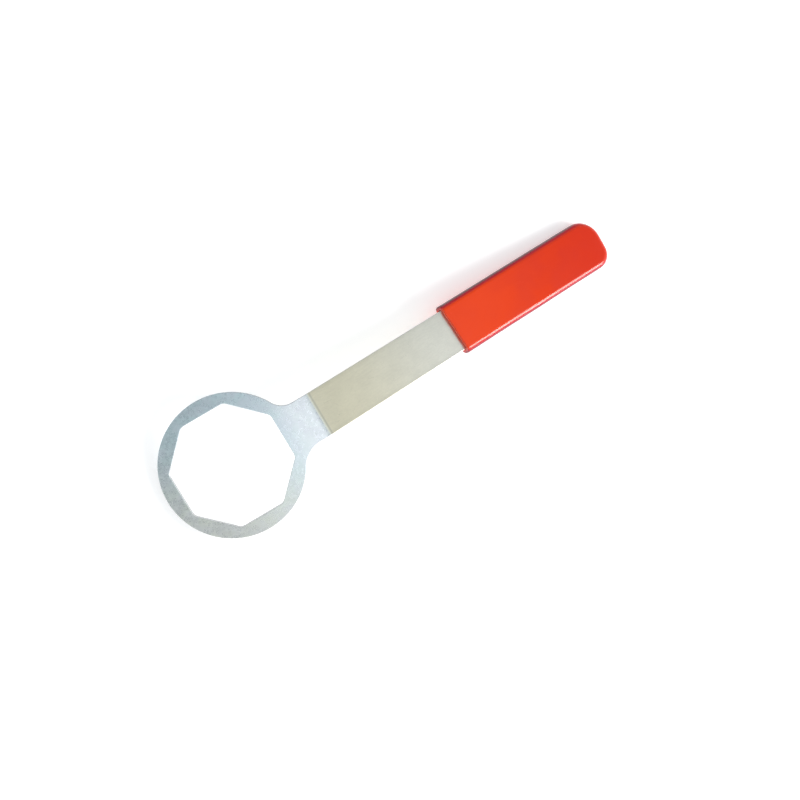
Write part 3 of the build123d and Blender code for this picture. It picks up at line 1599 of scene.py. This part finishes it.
    def wave(self, flat: np.ndarray) -> np.ndarray:
        """Returns the slight unevenness of a dipped skin, as shifts of its points.

        Args:
            flat: the points, as distance past the bend line, across and above.
        """
        shift = np.zeros_like(flat)
        for i, (past, across, above) in enumerate(flat):
            outside = abs(above) > self.plate.thickness / 2 + 0.3
            outside = outside or abs(across) > self.half_width - 1.5
            from_end = self.mouth + self.length - past
            settled = min(max(from_end - 6.0, 0.0) / 20.0, 1.0)
            settled *= min(max(past - self.mouth - 1.5, 0.0) / 6.0, 1.0)
            if not outside or settled == 0.0:
                continue
            place = np.array((past, across, above))
            lump = noise.noise(Vector(place / self.lump_size))
            ripple = noise.noise(Vector(place / self.ripple_size))
            rise = lump + self.ripple_share * ripple - self.inward
            size = self.waviness * settled * rise
            shift[i, 2] = size * (1.0 if above > 0 else -1.0)
            side = max(abs(across) / self.half_width - 0.8, 0.0) / 0.2
            shift[i, 1] = size * side * (1.0 if across > 0 else -1.0)
        return shift

    def dress(self, piece: bpy.types.Object, effects: Effects) -> None:
        """Gives the grip its finish.

        Args:
            piece: the grip.
            effects: the shared effects.
        """
        piece.data.materials.append(VinylFinish().build(effects))


# --------------------------------------------------------------------- studio


@dataclass(frozen=True)
class SoftBox:
    """A rectangular lamp that faces the wrench.

    The bearing is the compass direction of the lamp from the aim, in degrees from +X
    towards +Y, and the height is its angle above the table.
    """

    name: str
    bearing: float
    height: float
    distance: float
    size: tuple[float, float]
    radiance: float
    colour: Colour
    aim: tuple[float, float, float] = (0.14, 0.0, 0.0)

    def build(self) -> bpy.types.Object:
        """Makes the lamp, unseen by the camera itself.

        Returns:
            The lamp.
        """
        area = self.size[0] * self.size[1]
        lamp = bpy.data.lights.new(self.name, "AREA")
        lamp.shape = "RECTANGLE"
        lamp.size, lamp.size_y = self.size
        lamp.energy = self.radiance * math.pi * area
        lamp.color = self.colour
        light = bpy.data.objects.new(self.name, lamp)
        bearing, height = math.radians(self.bearing), math.radians(self.height)
        out = Vector(
            (
                math.cos(bearing) * math.cos(height),
                math.sin(bearing) * math.cos(height),
                math.sin(height),
            )
        )
        light.location = Vector(self.aim) + self.distance * out
        light.rotation_euler = out.to_track_quat("Z", "Y").to_euler()
        light.visible_camera = False
        bpy.context.scene.collection.objects.link(light)
        return light


@dataclass
class Studio:
    """The table, the soft light round it and the camera above it."""

    floor_size: float = 12.0
    overhead: Colour = (0.36, 0.40, 0.42)
    bright_side: Colour = (1.20, 1.20, 1.19)
    dim_side: Colour = (0.55, 0.56, 0.57)
    overhead_centre: tuple[float, float, float] = (0.139, 0.0, 0.990)
    overhead_reach: float = 46.0
    overhead_fade: float = 10.0
    side_fade: float = 0.9
    camera_place: tuple[float, float, float] = (-0.121176, 0.063594, 0.836798)
    camera_turn: tuple[float, float, float] = (2.6913, -17.9624, -31.8791)
    focal_length: float = 54.971
    camera_shift: tuple[float, float] = (-0.02436, 0.02810)

    def soft_boxes(self) -> list[SoftBox]:
        """Returns the lamps."""
        return [
            SoftBox(
                name="key_window",
                bearing=-48.0,
                height=33.0,
                distance=0.9,
                size=(0.34, 0.54),
                radiance=14.0,
                colour=(1.0, 0.985, 0.98),
                aim=(0.25, 0.0, 0.01),
            ),
            SoftBox(
                name="cool_lamp_over_head",
                bearing=-156.0,
                height=72.5,
                distance=0.62,
                size=(0.2, 0.2),
                radiance=1.2,
                colour=(0.98, 0.98, 1.0),
                aim=(0.056, -0.026, 0.017),
            ),
            SoftBox(
                name="warm_card_over_bar",
                bearing=-14.0,
                height=62.0,
                distance=0.9,
                size=(0.40, 0.40),
                radiance=0.30,
                colour=(1.0, 0.98, 0.93),
                aim=(0.12, 0.0, 0.015),
            ),
            SoftBox(
                name="strip_over_bend",
                bearing=0.0,
                height=87.0,
                distance=0.8,
                size=(0.26, 0.26),
                radiance=0.75,
                colour=(0.98, 1.0, 0.97),
                aim=(0.065, 0.0, 0.018),
            ),
        ]

    def build_world(self) -> None:
        """Makes the soft light that comes from all round."""
        world = bpy.data.worlds.new("soft_room")
        bpy.context.scene.world = world
        world.use_nodes = True
        world.node_tree.nodes.clear()
        graph = NodeGraph(world.node_tree)
        direction = graph.add("ShaderNodeTexCoord").outputs["Generated"]
        parts = graph.add("ShaderNodeSeparateXYZ")
        graph.feed(parts.inputs["Vector"], direction)
        round_about = graph.mix(
            graph.ramp(parts.outputs["Y"], -self.side_fade, self.side_fade),
            opaque(self.bright_side),
            opaque(self.dim_side),
        )
        nearness = graph.add("ShaderNodeVectorMath", operation="DOT_PRODUCT")
        graph.feed(nearness.inputs[0], direction)
        graph.feed(nearness.inputs[1], self.overhead_centre)
        edge = math.cos(math.radians(self.overhead_reach))
        full = math.cos(math.radians(self.overhead_reach - self.overhead_fade))
        share = graph.ramp(nearness.outputs["Value"], edge, full)
        tint = graph.mix(share, round_about, opaque(self.overhead))
        background = graph.add("ShaderNodeBackground")
        graph.feed(background.inputs["Color"], tint)
        output = graph.add("ShaderNodeOutputWorld")
        graph.feed(output.inputs["Surface"], background.outputs["Background"])

    def build_floor(self, level: float, effects: Effects) -> bpy.types.Object:
        """Makes the table top.

        Args:
            level: its height, in metres.
            effects: the shared effects.

        Returns:
            The table top.
        """
        half = self.floor_size / 2
        corners = [(-half, -half), (half, -half), (half, half), (-half, half)]
        mesh = bpy.data.meshes.new("table_top")
        mesh.from_pydata([(x, y, level) for x, y in corners], [], [(0, 1, 2, 3)])
        mesh.materials.append(FloorFinish().build(effects))
        table = bpy.data.objects.new("table_top", mesh)
        bpy.context.scene.collection.objects.link(table)
        return table

    def build_camera(self) -> bpy.types.Object:
        """Makes the camera, above the head's side and looking down.

        Returns:
            The camera.
        """
        lens = bpy.data.cameras.new("camera")
        lens.lens = self.focal_length
        lens.shift_x, lens.shift_y = self.camera_shift
        camera = bpy.data.objects.new("camera", lens)
        camera.location = self.camera_place
        camera.rotation_euler = Euler([math.radians(v) for v in self.camera_turn])
        bpy.context.scene.collection.objects.link(camera)
        bpy.context.scene.camera = camera
        return camera

    def build(self, effects: Effects) -> None:
        """Makes the whole studio."""
        bpy.context.scene.view_settings.view_transform = "Standard"
        self.build_world()
        for box in self.soft_boxes():
            box.build()
        self.build_floor(CAD_BOX[0].z, effects)
        self.build_camera()


# ----------------------------------------------------------------------- main


def head_tilt() -> float:
    """Returns how far the head slopes, in radians, from the opening's own mount."""
    mounts = {mount["name"]: mount for mount in frame["record"]["mounts"]}
    axis = mounts["octagon_opening"]["axis"]
    return math.atan2(-axis[0], axis[2])


def report(piece: bpy.types.Object) -> None:
    """Logs a piece's size in millimetres and its number of faces."""
    size = [round(v / MM, 2) for v in piece.dimensions]
    log.info("%s: %s mm, %d faces", piece.name, size, len(piece.data.polygons))


def main() -> None:
    """Builds the wrench's two pieces, dresses them and sets up the studio."""
    logging.basicConfig(level=logging.INFO, format="%(name)s: %(message)s")
    effects = Effects()

    plate = WrenchPlate(
        ring_radius=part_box("wrench_plate")[1].y / MM, head_tilt=head_tilt()
    )
    grip = HandleGrip(half_width=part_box("handle_grip")[1].y / MM, plate=plate)

    steel = plate.build()
    plate.dress(steel, effects, grip.mouth)
    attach(steel, BODY)
    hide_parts("wrench_plate")
    report(steel)

    vinyl = grip.build()
    grip.dress(vinyl, effects)
    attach(vinyl, BODY)
    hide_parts("handle_grip")
    report(vinyl)

    Studio().build(effects)


if __name__ == "__main__":
    main()
